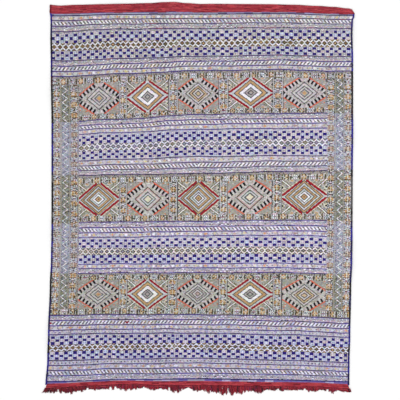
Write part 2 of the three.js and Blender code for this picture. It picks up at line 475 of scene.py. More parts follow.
# rows of indigo blocks with pale cells between them; each row's start is a share of the repeat
def blocksBand(u, v, top, foot, rows, starts, ground, field):
    pitch = warpSet["pitch"]
    web = mixedGround(ground, u, v)
    w = evened(u, field)
    for row, start in zip(rows, starts):
        y = np.abs(v - row)
        x, number = repeat(w - (start + 0.5) * pitch, pitch)
        cell = (np.abs(x) < blocks["paleHalfWidth"]) & (y < blocks["paleHalfHeight"])
        paint(web, cell, pick(blocks["pale"], np.floor(number / 2), row))
        speck = np.abs(np.abs(x) - blocks["speckOut"]) < blocks["speckHalfWidth"]
        paint(web, speck & (y < blocks["speckHalfHeight"]), pick(blocks["specks"], number, row + 5))
        glint = np.abs(y - blocks["glintUp"]) < blocks["glintHalfHeight"]
        paint(web, glint & (np.abs(x) < blocks["glintHalfWidth"]), "white")
        x, number = repeat(w - start * pitch, pitch)
        half = blocks["halfWidth"] * (1 - blocks["spread"] / 2 + blocks["spread"] * scatter(number, row))
        block = (np.abs(x) < half) & (y < blocks["halfHeight"])
        paint(web, block, "indigo")
        for key, name in blocks["oddDyes"]:
            odd = chanceOf(u, v, yarnCell["width"], yarnCell["height"], key) > blocks["oddChance"]
            paint(web, block & odd, name)
        rim = np.abs(np.abs(x) - half - blocks["rimHalfWidth"]) < blocks["rimHalfWidth"]
        paint(web, rim & (y < blocks["rimHalfHeight"]), "offWhite")
    return web


net = {
    "height": 42,            # the lozenges are stretched from this to the band's own height
    "halfWidth": 13.7,
    "halfHeight": 12.8,
    "centre": 0.48,
    "capHeight": 13.2,
    "capCentre": 0.5,
}


# dark lozenges on white, whole ones down the middle and caps at both edges
def netBand(u, v, top, foot, pitch, start, fill, centre, ground, field):
    y = v - top
    height = foot - top
    web = mixedGround(ground, u, y)
    w = evened(u, field) - start
    middle = (y - height / 2) / (height / net["height"])
    x, number = repeat(w, pitch)
    whole = lozenge(x, middle, net["halfWidth"], net["halfHeight"])
    shiftedX, shifted = repeat(w - pitch / 2, pitch)
    cap = lozenge(shiftedX, net["height"] / 2 - np.abs(middle), net["halfWidth"], net["capHeight"])
    shifted = shifted + np.where(middle < 0, 50, 90)
    for shape, key, size in ((whole, number, net["centre"]), (cap, shifted, net["capCentre"])):
        paint(web, shape < 1, pick(fill, key, 2))
        paint(web, shape < size, pick(centre, key, 4))
    return web


# The panels

comb = {   # the reaches are shares of the panel's half width and height, the rings shares of the lozenge
    "acrossReach": 1.34,
    "alongReach": 1.26,
    "steps": 26,             # fine stripes from the middle out
    "barSpacing": 21,
    "barStart": 4,
    "barHalfThickness": 5.6,
    "barFrom": 0.70,
    "barTo": 0.945,
    "gapOut": 7.8,           # the pale gap beside each bar
    "gapHalf": 2.6,
    "gapTo": 0.92,
    "edgeRing": 0.982,
    "edgeHalf": 0.029,
    "rimRing": 1.035,
    "rimHalf": 0.022,
    "specksFrom": 1.06,
    "speckSize": 6,
    "tipReach": 16,
    "tipHalfHeight": 7,
    "tipSlope": 1.5,
    "innerAcross": 0.635,
    "innerAlong": 0.74,
    "lighter": ["sage", "ash", "greige"],
    "darker": ["sage", "ash", "greige", "greige", "steel", "steel"],
    "within": ["ash", "offWhite", "offWhite", "ash", "greige"],
}
# rings from the outside in: outer edge as a share of the inner lozenge, and the dye inside it
combRings = {
    "plain": [(1.02, "slate"), (0.91, "offWhite"), (0.69, "slate"), (0.58, "offWhite"), (0.40, "slate"),
              (0.31, "ash"), (0.20, "tan")],
    "rosy": [(1.02, "slate"), (0.91, "offWhite"), (0.74, "slate"), (0.64, "ash"), (0.50, "slate"),
             (0.40, "offWhite"), (0.25, "slate"), (0.17, "rose")],
    "tanMid": [(1.02, "slate"), (0.92, "offWhite"), (0.76, "darkOlive"), (0.67, "sand"),
               (0.53, "darkOlive"), (0.43, "offWhite"), (0.28, "slate"), (0.18, "sand")],
    "tanOut": [(1.02, "darkOlive"), (0.93, "rose"), (0.80, "offWhite"), (0.64, "slate"), (0.54, "frost"),
               (0.40, "slate"), (0.29, "cream")],
}
redRings = {
    "wide": [(0.785, "slate"), (0.72, "tan"), (0.57, "slate"), (0.515, "white"), (0.33, "slate"),
             (0.26, "ash"), (0.165, "slate"), (0.09, "ash")],
    "narrow": [(0.87, "slate"), (0.815, "tan"), (0.74, "slate"), (0.685, "frost"), (0.60, "slate"),
               (0.545, "tan"), (0.465, "slate"), (0.41, "frost"), (0.325, "slate"), (0.27, "white"),
               (0.19, "slate"), (0.135, "tan"), (0.05, "slate")],
}


# a coral lozenge with a comb of black bars along its inside and thin rings in the middle
def combPanel(x, y, halfWidth, halfHeight, rings):
    width = comb["acrossReach"] * halfWidth
    height = comb["alongReach"] * halfHeight
    ring = lozenge(x, y, width, height)
    along = (np.abs(x) * width - np.abs(y) * height) / np.hypot(width, height)
    stripe = np.floor(ring * comb["steps"])
    lighter = pick(comb["lighter"], stripe, np.floor(along / 5))
    darker = pick(comb["darker"], stripe, np.floor(along / 8))
    web = np.where(np.mod(stripe, 2) == 0, lighter, darker)
    speck = chanceOf(x, y, comb["speckSize"], comb["speckSize"])
    paint(web, (speck > 0.96) & (ring > comb["specksFrom"]), "orange")
    paint(web, (speck < 0.05) & (ring > comb["specksFrom"]), "offWhite")
    paint(web, ring < 1.0, mixedGround(comb["within"], x, y))
    bar, number = repeat(along - comb["barStart"], comb["barSpacing"])
    gap = (np.abs(np.abs(bar) - comb["gapOut"]) < comb["gapHalf"]) & (ring > comb["barFrom"])
    paint(web, gap & (ring < comb["gapTo"]), "offWhite")
    bars = (np.abs(bar) < comb["barHalfThickness"]) & (ring > comb["barFrom"]) & (ring < comb["barTo"])
    paint(web, bars & (number > -1.5) & (number < 3.5), "black")
    paint(web, np.abs(ring - comb["edgeRing"]) < comb["edgeHalf"], "coral")
    paint(web, np.abs(ring - comb["rimRing"]) < comb["rimHalf"], "blush")
    reach = halfWidth - np.abs(x)
    tip = (np.abs(y) < comb["tipHalfHeight"]) & (reach < comb["tipReach"])
    paint(web, (ring < 0.94) & tip, "offWhite")
    paint(web, reach < comb["tipReach"] - comb["tipSlope"] * np.abs(y), "black")
    inner = lozenge(x, y, comb["innerAcross"] * halfWidth, comb["innerAlong"] * halfHeight)
    for outer, name in rings:
        paint(web, inner < outer, name)
    return web


redEdge = {   # reaches and rings as for the comb
    "acrossReach": 1.04,
    "alongReach": 1.08,
    "innerAlong": 1.14,
    "outside": 1.12,
    "pale": 1.06,
    "redFrom": 0.915,
    "redTo": 1.075,
    "openAcross": 8,         # the red edge is open at its four tips
    "openAlong": 4,
    "grain": 5.2,
    "foldSlope": 0.80,
    "cornerShare": 0.54,     # how far out the small triangles stand
    "ground": ["greige", "olive", "ash", "steel", "offWhite", "sage"],
}


# a lozenge with a thick red edge and many rings, and small triangles in the panel's corners
def redPanel(x, y, halfWidth, halfHeight, rings):
    ring = lozenge(x, y, redEdge["acrossReach"] * halfWidth, redEdge["alongReach"] * halfHeight)
    inner = lozenge(x, y, halfWidth, redEdge["innerAlong"] * halfHeight)
    web = mixedGround(redEdge["ground"], x, y, redEdge["grain"])
    outside = ring > redEdge["outside"]
    cornerX = halfWidth - np.abs(x)
    cornerY = halfHeight - np.abs(y)
    fold = cornerX * redEdge["foldSlope"] - cornerY
    paint(web, (np.abs(np.abs(fold) - 6.0) < 2.2) & outside, "olive")
    paint(web, (np.abs(fold) < 2.8) & outside, "white")
    eyeX = np.abs(halfWidth - 4 - np.abs(x))
    eyeY = np.abs(np.abs(y) - redEdge["cornerShare"] * halfHeight)
    eye = eyeX / 1.2 + eyeY
    paint(web, (eye < 13) & (eye >= 8) & outside, "cream")
    paint(web, eyeX / 1.6 + eyeY < 5.2, "black")
    roof = np.abs(np.abs(x) - redEdge["cornerShare"] * halfWidth) * 0.8 + np.abs(cornerY - 3)
    for size, name in ((12, "offWhite"), (8.5, "tan"), (3.5, "blush")):
        paint(web, (roof < size) & outside, name)
    paint(web, ring < redEdge["outside"], "cream")
    paint(web, ring < redEdge["pale"], "frost")
    broken = (np.abs(x) > redEdge["openAcross"]) & (np.abs(y) > redEdge["openAlong"])
    paint(web, (ring > redEdge["redFrom"]) & (ring < redEdge["redTo"]) & broken, "crimson")
    for outer, name in rings:
        paint(web, inner < outer, name)
    return web


stars = {
    "rowMotif": 45.4,        # width of a star in a row, and height of one in a column
    "columnMotif": 27.2,
    "fleckWidth": 5.1,
    "fleckHeight": 4.3,
    "fleckShare": 0.09,
}


# stray light and dark yarns: one cell in eleven of each
def flecked(web, x, y):
    chance = chanceOf(x, y, stars["fleckWidth"], stars["fleckHeight"])
    paint(web, chance > 1 - stars["fleckShare"], "frost")
    paint(web, chance < stars["fleckShare"], "darkOlive")
    return web


# stars side by side, warm and cool in turn
def starRow(u, y, height, phase):
    motif = stars["rowMotif"]
    number = np.floor((u + phase) / motif)
    x = u + phase - number * motif
    kind = np.mod(number, 2) * 10 + (scatter(number, phase) > 0.55)
    web = chart(mirrored(starRows["warm"]), x, y, motif, height)
    for value, name in ((1, "olive"), (10, "cool"), (11, "maroon")):
        paint(web, kind == value, chart(mirrored(starRows[name]), x, y, motif, height))
    return flecked(web, u, y)


# stars one under another, warm and cool in turn
def starColumn(x, v, width, phase):
    motif = stars["columnMotif"]
    number = np.floor((v + phase) / motif)
    y = v + phase - number * motif
    place = np.clip(x + width / 2, 0, width - 0.01)
    web = chart(starColumns["warm"], place, y, width, motif)
    paint(web, np.mod(number, 2) == 1, chart(starColumns["cool"], place, y, width, motif))
    return flecked(web, x, v)


# The side borders

borders = {
    "edges": [(-783, -1, 139), (800, 1, 133)],   # edge, its side, and the border's width
    "stars": [(8, 46, 6), (97, 137, 3)],         # how far in the columns of stars start and stop, and a shift
    "zigzag": (46, 97),
    "fineLines": (47.5, 94),
    "fineHalfWidth": 1.8,
    "top": 396,
    "foot": 1603,
    "ground": ["greige", "ash", "slate", "greige"],
    "groundHeight": 3.3,
}
zigzagLine = {
    "period": 40.5,
    "reach": 13.5,
    "stripe": 5.2,
    "flecks": ["ash", "olive", "greige", "slate", "steel"],
}
# beside the striped fields the same border is woven in cooler yarns
coolSwaps = {
    "olive": "steel", "darkOlive": "slate", "brown": "clay", "greige": "ash", "tan": "blush",
    "ash": "greyLilac", "sage": "mist", "slate": "plum", "steel": "mist", "rose": "ash",
}


# a thin white zigzag between fine lines that follow it
def zigzagColumn(x, v):
    width, height = zigzagLine["stripe"], grain["height"]
    away = x - zigzag(v, zigzagLine["period"]) * zigzagLine["reach"]
    stripe = np.mod(np.floor(np.abs(away) / width), 2)
    web = np.where(stripe == 0, dyeNumber("olive"), dyeNumber("sage"))
    paint(web, chanceOf(x, v, width, height) > 0.55, mixedGround(zigzagLine["flecks"], x, v, width))
    paint(web, (away < 0) & (away > -6), "slate")
    paint(web, np.abs(away) < 2.5, "white")
    return web


# the border's columns, told apart by how far each cell is in from the edge
def sideBorder(u, v, edge, side, cool):
    inset = (edge - u) * side
    web = mixedGround(borders["ground"], u, v, height=borders["groundHeight"])
    for near, far, phase in borders["stars"]:
        within = (inset > near) & (inset < far)
        paint(web, within, starColumn(inset - (near + far) / 2, v, far - near, phase))
    near, far = borders["zigzag"]
    middle = (near + far) / 2 - 2
    paint(web, (inset >= near) & (inset < far), zigzagColumn((inset - middle) * -side, v))
    for place in borders["fineLines"]:
        paint(web, np.abs(inset - place) < borders["fineHalfWidth"], "greige")
    swapped = np.arange(len(dyeNames))
    for warm, cold in coolSwaps.items():
        swapped[dyeNumber(warm)] = dyeNumber(cold)
    return np.where(cool, swapped[web], web)


panels = {
    "margin": 2,             # between a panel and the slate line beside it
    "slateHalf": 1.9,
    "paleHalf": 1.7,
    "paleOut": 4,            # from the slate line to the pale one
    "ground": ["greige", "slate", "greige", "greyLilac"],
}


# rows of stars over and under, lozenge panels side by side, and a column of stars in each gap
def panelBand(u, v, top, foot, rows, across, halfWidth, order, phases):
    starTop, panelTop, panelFoot, starFoot = rows
    web = mixedGround(panels["ground"], u, v, 4, 3.2)
    for first, last, phase in ((starTop, panelTop, phases[0]), (panelFoot, starFoot, phases[1])):
        paint(web, (v > first) & (v < last), starRow(u, v - first, last - first, phase))
    within = (v >= panelTop) & (v <= panelFoot)
    middle = (panelTop + panelFoot) / 2
    halfHeight = (panelFoot - panelTop) / 2
    across = np.array(across)
    half = np.array(halfWidth)
    for left, right in zip((across + half)[:-1], (across - half)[1:]):   # stars between the panels
        x = u - (left + right) / 2
        off = np.abs(x) - (right - left) / 2
        paint(web, within & (off < 0), starColumn(x, v, right - left - 8, phases[2]))
        paint(web, within & (np.abs(off) < panels["slateHalf"]), "slate")
        paint(web, within & (np.abs(off + panels["paleOut"]) < panels["paleHalf"]), "offWhite")
    for centre, width, kind in zip(across, half, order):
        x = u - centre
        panel, rings = (combPanel, combRings[kind]) if kind in combRings else (redPanel, redRings[kind])
        mask = within & (np.abs(x) < width - panels["margin"])
        paint(web, mask, panel(x, v - middle, width, halfHeight, rings))
    return web


# The order of the bands

earth = ["darkOlive", "olive", "darkOlive", "darkOlive", "olive"]
warmCentres = ["brown", "brown", "olive", "greige", "brown", "tan", "brown"]
greyFill = ["slate", "plum", "slate", "olive"]
greyCentres = ["steel", "sage", "ash", "greyLilac"]
quiet = ["mist", "ash", "offWhite", "steel", "sage", "greyLilac", "offWhite", "greyLilac"]
pale = ["offWhite", "mist", "paleBlue", "offWhite", "lilac", "offWhite", "steel"]
whiteNet = ["white", "white", "offWhite", "white", "mist"]
warmNet = ["cream", "offWhite", "cream", "white"]
outer, inner = 0, 0.5   # where a row of blocks starts, as a share of the repeat
planStart = 60
# kind, foot, and what the kind needs; each band starts where the one before it ends
bandPlan = [
    ("spots", 81, dict(pitch=49.6, start=13.7)),
    ("slant", 107, dict(turn=-1, start=-6.9)),
    ("fine", 133, {}),
    ("blocks", 191, dict(rows=(151, 168, 184), starts=(outer, inner, outer), ground=quiet, field="first")),
    ("net", 231, dict(pitch=29.2, start=-12.2, fill=earth, centre=warmCentres, ground=whiteNet,
                      field="first")),
    ("blocks", 281, dict(rows=(240, 254, 269), starts=(inner, outer, inner), ground=quiet, field="first")),
    ("fine", 306, {}),
    ("slant", 332, dict(turn=1, start=0.3)),
    ("spots", 355, dict(pitch=50.3, start=15.8)),
    ("panels", 586, dict(rows=(368, 396, 556, 580), phases=(16, 38, 10),
                         across=(-534, -279, -14, 262, 544), halfWidth=(104, 110, 107, 117, 112),
                         order=("plain", "wide", "tanMid", "wide", "plain"))),
    ("fine", 612, {}),
    ("slant", 637, dict(turn=-1, start=-7.6)),
    ("spots", 663, dict(pitch=50.4, start=-10.6)),
    ("blocks", 717, dict(rows=(681, 694, 709), starts=(outer, inner, outer), ground=pale, field="second")),
    ("net", 757, dict(pitch=29.45, start=-10.3, fill=greyFill, centre=greyCentres, ground=whiteNet,
                      field="second")),
    ("blocks", 806, dict(rows=(764, 778, 792), starts=(outer, inner, outer), ground=pale, field="second")),
    ("spots", 836, dict(pitch=50.4, start=22.7)),
    ("slant", 865, dict(turn=0, start=-1.2)),
    ("fine", 894, {}),
    ("panels", 1147, dict(rows=(909, 937, 1113, 1140), phases=(25, 43, 15),
                          across=(-538, -278, -12, 258, 545), halfWidth=(110, 111, 110, 118, 120),
                          order=("narrow", "tanOut", "narrow", "tanOut", "narrow"))),
    ("fine", 1173, {}),
    ("slant", 1199, dict(turn=-1, start=-1.6)),
    ("spots", 1222, dict(pitch=50.4, start=-9.3)),
    ("blocks", 1281, dict(rows=(1241, 1257, 1272), starts=(outer, inner, outer), ground=pale,
                          field="third")),
    ("net", 1319, dict(pitch=29.4, start=12.9, fill=earth, centre=greyCentres, ground=warmNet,
                       field="third")),
    ("blocks", 1367, dict(rows=(1327, 1342, 1355), starts=(outer, inner, outer), ground=pale,
                          field="thirdLower")),
    ("spots", 1390, dict(pitch=50.3, start=-4.6)),
    ("fine", 1414, {}),
    ("panels", 1636, dict(rows=(1425, 1450, 1603, 1631), phases=(34, 48, 20),
                          across=(-530, -271, -7, 268, 553), halfWidth=(109, 107, 110, 119, 119),
                          order=("plain", "wide", "rosy", "wide", "tanMid"))),
    ("fine", 1661, {}),
    ("slant", 1687, dict(turn=1, start=0.1)),
    ("spots", 1710, dict(pitch=50.1, start=-23.6)),
    ("spots", 1731, dict(pitch=37.4, start=-14.3, dark=["slate", "plum", "clay"])),
    ("blocks", 1783, dict(rows=(1746, 1761, 1775), starts=(outer, inner, outer), ground=quiet,
                          field="fourth")),
    ("net", 1817, dict(pitch=29.1, start=-10.7, fill=earth, centre=warmCentres, ground=whiteNet,
                       field="fourth")),
    ("blocks", 1863, dict(rows=(1825, 1838, 1852), starts=(inner, outer, inner), ground=quiet,
                          field="fourth")),
    ("spots", 1888, dict(pitch=37.4, start=3.4, dark=["slate", "navy", "clay"])),
    ("spots", 1914, dict(pitch=49.8, start=-19.7, warm=["amber", "yellow", "tan", "amber"])),
    ("slant", 1942, dict(turn=-1, start=-3.9)),
    ("fine", 1972, {}),
]
bandTops = [planStart] + [foot for kind, foot, needs in bandPlan]
bands = [(kind, top, foot, needs) for top, (kind, foot, needs) in zip(bandTops, bandPlan)]
bandKinds = {"spots": spotsBand, "slant": slantBand, "fine": fineBand, "blocks": blocksBand, "net": netBand,
             "panels": panelBand}

# A dark line runs under every band, but for the two edges of each net
unlined = {edge for kind, top, foot, needs in bands if kind == "net" for edge in (top, foot)}
lined = sorted({foot for kind, top, foot, needs in bands} - unlined)
bandLines = {
    "halfWidth": 2.5,
    "thickerFrom": 1600,
    "thicker": 0.5,
    "run": 33,              # how far along the line a dye goes
    "endRun": 45,
}
lineDyes = [   # the dyes of the lines down to each place along
    {"foot": 283, "dyes": ["purple", "purple", "navy", "purple", "maroon", "purple", "slate"]},
    {"foot": 700, "dyes": ["inkViolet", "purple", "inkViolet", "inkViolet"]},
    {"foot": 900, "dyes": ["deepPurple", "purple", "deepPurple"]},
    {"foot": 1420, "dyes": ["inkViolet", "inkViolet", "purple", "violet"]},
    {"foot": 1900, "dyes": ["inkViolet", "deepPurple", "purple"]},
    {"foot": 1960, "dyes": ["inkViolet", "deepPurple", "royal", "deepPurple"]},
    {"foot": 1980, "dyes": ["indigo", "navy", "indigo"]},
]
ends = {
    "redFoot": 46,          # the plain red end stops here
    "purpleFoot": 50,
    "paleFoot": 55,
    "navyFoot": 60.5,
    "lastNavy": 1974.6,
    "lastViolet": 1982.8,
}
endLines = [   # top, foot and dyes of the lines beside the two red ends
    ("redFoot", "purpleFoot", ["plum", "violet", "maroon", "violet"]),
    ("purpleFoot", "paleFoot", ["mist", "plum", "lilac", "greyLilac"]),
    ("paleFoot", "navyFoot", ["navy", "purple", "navy"]),
    ("lastNavy", "lastViolet", ["violet", "greyLilac", "violet", "lilac"]),
]
flecks = [   # crimson weft let in by hand: across, along, and half its width and height
    {"across": -374, "along": 1674, "halfWidth": 13, "halfHeight": 5},
    {"across": -776, "along": 1674, "halfWidth": 12, "halfHeight": 5},
]
redWeft = {
    "run": 37,
    "wander": 3,
    "height": 3.1,
    "dyes": ["red", "red", "brightRed", "red", "red", "red", "brightRed", "red", "darkRed", "brightRed"],
}


# the plain weave of the red end and the foot strip: long streaks of neighbouring reds
def plainRed(u, v):
    row = np.floor(v / redWeft["height"])
    return pick(redWeft["dyes"], np.floor(u / redWeft["run"] + redWeft["wander"] * scatter(row)), row)


# the dye number of every cell of the face, from its place: bands, lines, ends, flecks and side borders
def patternOf(u, v):
    u, v = np.broadcast_arrays(u, v)
    web = plainRed(u, v)
    paint(web, v > ends["redFoot"], "lilac")
    inPanels = np.zeros(web.shape, bool)
    for kind, top, foot, needs in bands:
        rows = np.flatnonzero(((v >= top) & (v < foot)).any(axis=1))
        if len(rows):
            part = slice(rows[0], rows[-1] + 1)
            web[part] = bandKinds[kind](u[part], v[part], top, foot, **needs)
            inPanels[part] = kind == "panels"
    for place in lined:
        reach = bandLines["halfWidth"] + bandLines["thicker"] * (place > bandLines["thickerFrom"])
        names = next(row["dyes"] for row in lineDyes if place < row["foot"])
        paint(web, np.abs(v - place) < reach, pick(names, np.floor(u / bandLines["run"]), place))
    for first, last, names in endLines:
        dye = pick(names, np.floor(u / bandLines["endRun"]), ends[first])
        paint(web, (v > ends[first]) & (v <= ends[last]), dye)
    paint(web, v > ends["lastViolet"], plainRed(u, v))
    for fleck in flecks:
        away = lozenge(u - fleck["across"], v - fleck["along"], fleck["halfWidth"], fleck["halfHeight"])
        paint(web, away < 1.15, "crimson")
    bordered = (v > borders["top"] + 2) & (v < borders["foot"] - 2)
    for edge, side, width in borders["edges"]:
        beside = bordered & ((edge - u) * side < width + 2)
        paint(web, beside, sideBorder(u, v, edge, side, ~inPanels))
    return web


# Meshes

face = {
    "columns": 464,
    "blockColumns": 8,      # the hidden back of each layer has one column for so many of the face
    "rowHeight": 3.1,
    "leastRow": 1.2,
    "selvedgeInset": 6.5,   # the face starts this far in from the nominal edge
    "proud": 0.42,          # how far a light weft float stands over the dark ones
    "unevenness": 0.16,
    "tintJitter": 0.06,     # from cell to cell
    "leastTint": 0.3,
    "runJitter": 0.10,      # from one short length of yarn to the next
    "runColour": 0.6,       # how much of that is in its colour, against its lightness
    "runLength": 3,
}
bakeMap = {   # shares of the square that the pieces are baked on
    "margin": 0.01,
    "span": 0.98,
    "rightHalf": 0.48,      # where the face's right half starts
    "back": 0.955,
    "backSpan": 0.03,
    "groundBack": (0.01, 0.76),
    "groundTop": (0.80, 0.19),
}
# how much lighter or darker the wool comes than its dye: painted shade across, darker on the left and lighter
# on the right; and the wool's own tone along, bluer in the lower striped fields
woolToneAndPaintedShade = {
    "across": [-786, 800],
    "light": [0.95, 1.05],
    "borders": 0.97,
    "bordersFrom": 380,
    "bordersTo": 1620,
    "along": [0, 586, 600, 890, 900, 1140, 1150, 1410, 1420, 1630, 1640, 1860, 1870, 1972, 1984],
    "red": [0.98, 0.98, 1.04, 1.04, 1, 1, 1.04, 1.04, 0.92, 0.92, 0.96, 0.96, 0.90, 0.90, 1.02],
    "green": [0.98, 0.98, 1.02, 1.02, 1.01, 1.01, 1.02, 1.02, 0.94, 0.94, 0.95, 0.95, 0.89, 0.89, 0.97],
    "blue": [1.01, 1.01, 1.09, 1.09, 1, 1, 1.13, 1.13, 0.92, 0.92, 1.08, 1.08, 1.03, 1.03, 1.00],
}


# red, green and blue factors of each cell = painted shade across * tone along, the latter not in the side
# borders
def toneAndPaintedShadeOf(u, v):
    # painted shade: the cloth is darker to the left and lighter to the right
    light = np.interp(u, woolToneAndPaintedShade["across"], woolToneAndPaintedShade["light"])
    inField = (v > woolToneAndPaintedShade["bordersTo"]) | (v < woolToneAndPaintedShade["bordersFrom"])
    beside = np.zeros(np.shape(u), bool)
    for edge, side, width in borders["edges"]:
        beside |= (edge - u) * side < width
    inField = inField | ~beside
    zones = [np.interp(v, woolToneAndPaintedShade["along"], woolToneAndPaintedShade[name]) for name in ("red", "green", "blue")]
    return np.stack([light * np.where(inField, zone, woolToneAndPaintedShade["borders"]) for zone in zones], axis=-1)


# linear light from sRGB: s / 12.92 when dark, and otherwise ((s + 0.055) / 1.055) to the power 2.4
def linearOf(srgb):
    value = np.asarray(srgb, float) / 255
    return np.where(value <= 0.04045, value / 12.92, ((value + 0.055) / 1.055) ** 2.4)


dyeTable = linearOf([dyes[name] for name in dyeNames])


# puts points and faces into a new mesh: the corners stand face after face
def newMesh(name, points, faces, cornerDyes, cornerWeave, cornerBake=None):
    sizes = np.concatenate([np.full(len(group), group.shape[1]) for group in faces])
    corners = cornersIn(faces)
    mesh = bpy.data.meshes.new(name)
    mesh.vertices.add(len(points))
    mesh.vertices.foreach_set("co", np.ascontiguousarray(points, np.float32).ravel())
    mesh.loops.add(len(corners))
    mesh.loops.foreach_set("vertex_index", corners.astype(np.int32))
    mesh.polygons.add(len(sizes))
    mesh.polygons.foreach_set("loop_start", (np.cumsum(sizes) - sizes).astype(np.int32))
    mesh.update(calc_edges=True)
    dye = mesh.color_attributes.new(name="dye", type="FLOAT_COLOR", domain="CORNER")
    rgba = np.ones((len(corners), 4), np.float32)
    rgba[:, :3] = cornerDyes
    dye.data.foreach_set("color", rgba.ravel())
    for mapName, uvs in (("weave", cornerWeave), ("OFBake", cornerBake)):
        if uvs is not None:
            uvMap = mesh.uv_layers.new(name=mapName)
            uvMap.data.foreach_set("uv", np.ascontiguousarray(uvs, np.float32).ravel())
    mesh.polygons.foreach_set("use_smooth", np.ones(len(sizes), bool))
    mesh.update()
    piece = bpy.data.objects.new(name, mesh)
    bpy.context.scene.collection.objects.link(piece)
    return piece


# the point numbers at the corners of every face, one after another
def cornersIn(faces):
    return np.concatenate([group.ravel() for group in faces])


# four corners of each cell of a grid, anticlockwise seen from above with rows running down
def cellsOf(grid):
    return np.stack([grid[1:, :-1], grid[1:, 1:], grid[:-1, 1:], grid[:-1, :-1]], axis=2)


# those corners as a list of faces
def facesOf(index):
    return cellsOf(index).reshape(-1, 4)


# row edges that fall on every line and band edge, with even rows about one yarn high between them
def rowEdges(top, foot):
    fixed = list(ends.values())
    for kind, bandTop, bandFoot, needs in bands:
        reach = 0 if bandTop in unlined else bandLines["halfWidth"]
        fixed += [bandTop - reach, bandTop + reach]
        if kind == "panels":
            fixed += needs["rows"]
    stops = sorted({top, foot} | {place for place in fixed if top + 1 < place < foot - 1})
    kept = [top] + [b for a, b in zip(stops[:-1], stops[1:]) if b - a > face["leastRow"] or b == foot]
    edges = [np.linspace(a, b, max(1, round((b - a) / face["rowHeight"])) + 1)[:-1]
             for a, b in zip(kept[:-1], kept[1:])]
    return np.concatenate(edges + [[foot]])


# faces of a layer: its fine upper grid, the coarser back whose end rows are whole, and the four walls
def layerFaces(rows, columns):
    block = face["blockColumns"]
    coarse = columns // block + 1
    upper = np.arange((rows + 1) * (columns + 1)).reshape(rows + 1, columns + 1)
    head = upper.size + np.arange(columns + 1)
    foot = head + columns + 1
    within = foot[-1] + 1 + np.arange((rows - 1) * coarse).reshape(rows - 1, coarse)
    lower = np.vstack([head[::block], within, foot[::block]])
    # back faces look down; those of the first and last row take in every corner of the edge
    back = facesOf(lower)[:, ::-1].reshape(rows, coarse - 1, 4)
    spans = np.arange(0, columns, block)[:, None] + np.arange(block + 1)
    headFaces = np.hstack([head[spans], lower[1, 1:, None], lower[1, :-1, None]])
    footFaces = np.hstack([foot[spans][:, ::-1], lower[-2, :-1, None], lower[-2, 1:, None]])
    walls = [
        np.stack([upper[:-1, 0], lower[:-1, 0], lower[1:, 0], upper[1:, 0]], axis=-1),
        np.stack([upper[1:, -1], lower[1:, -1], lower[:-1, -1], upper[:-1, -1]], axis=-1),
        np.stack([upper[0, 1:], head[1:], head[:-1], upper[0, :-1]], axis=-1),
        np.stack([upper[-1, :-1], foot[:-1], foot[1:], upper[-1, 1:]], axis=-1),
    ]
    return [facesOf(upper), back[1:-1].reshape(-1, 4), headFaces, footFaces] + walls


# colour of each cell = its dye * jitter of the cell and of its short length of yarn * tone of its zone *
# painted shade across
def layerDyes(web, cellU, cellV):
    rows, columns = web.shape
    lengths = rng.standard_normal((rows, columns // face["runLength"] + 2, 4))
    run = (np.arange(columns)[None, :] + rng.integers(0, face["runLength"], (rows, 1))) // face["runLength"]
    length = np.take_along_axis(lengths, run[:, :, None], axis=1)
    tint = 1 + face["tintJitter"] * rng.standard_normal((rows, columns, 3))
    tint = tint * (1 + face["runJitter"] * (face["runColour"] * length[..., :3] + length[..., 3:]))
    return dyeTable[web] * np.maximum(tint, face["leastTint"]) * toneAndPaintedShadeOf(cellU, cellV)


# bake map: the left and right halves of the face one above the other, the back in a strip over them
def layerBake(weave, onFace, onRight, u, v):
    middle = (u[0] + u[-1]) / 2 * millimetre
    halfSpan = (u[-1] - u[0]) / 2 * millimetre
    margin, span = bakeMap["margin"], bakeMap["span"]
    across = (weave[:, 0] - middle) / halfSpan
    along = (weave[:, 1] - v[0] * millimetre) / halfSpan
    left = np.stack([margin + span * (across + 1), margin + span * along], axis=-1)
    right = np.stack([margin + span * across, bakeMap["rightHalf"] + span * along], axis=-1)
    back = [margin + span / 2 * (across + 1), bakeMap["back"] + bakeMap["backSpan"] * along]
    return np.where(onFace[:, None], np.where(onRight[:, None], right, left), np.stack(back, axis=-1))


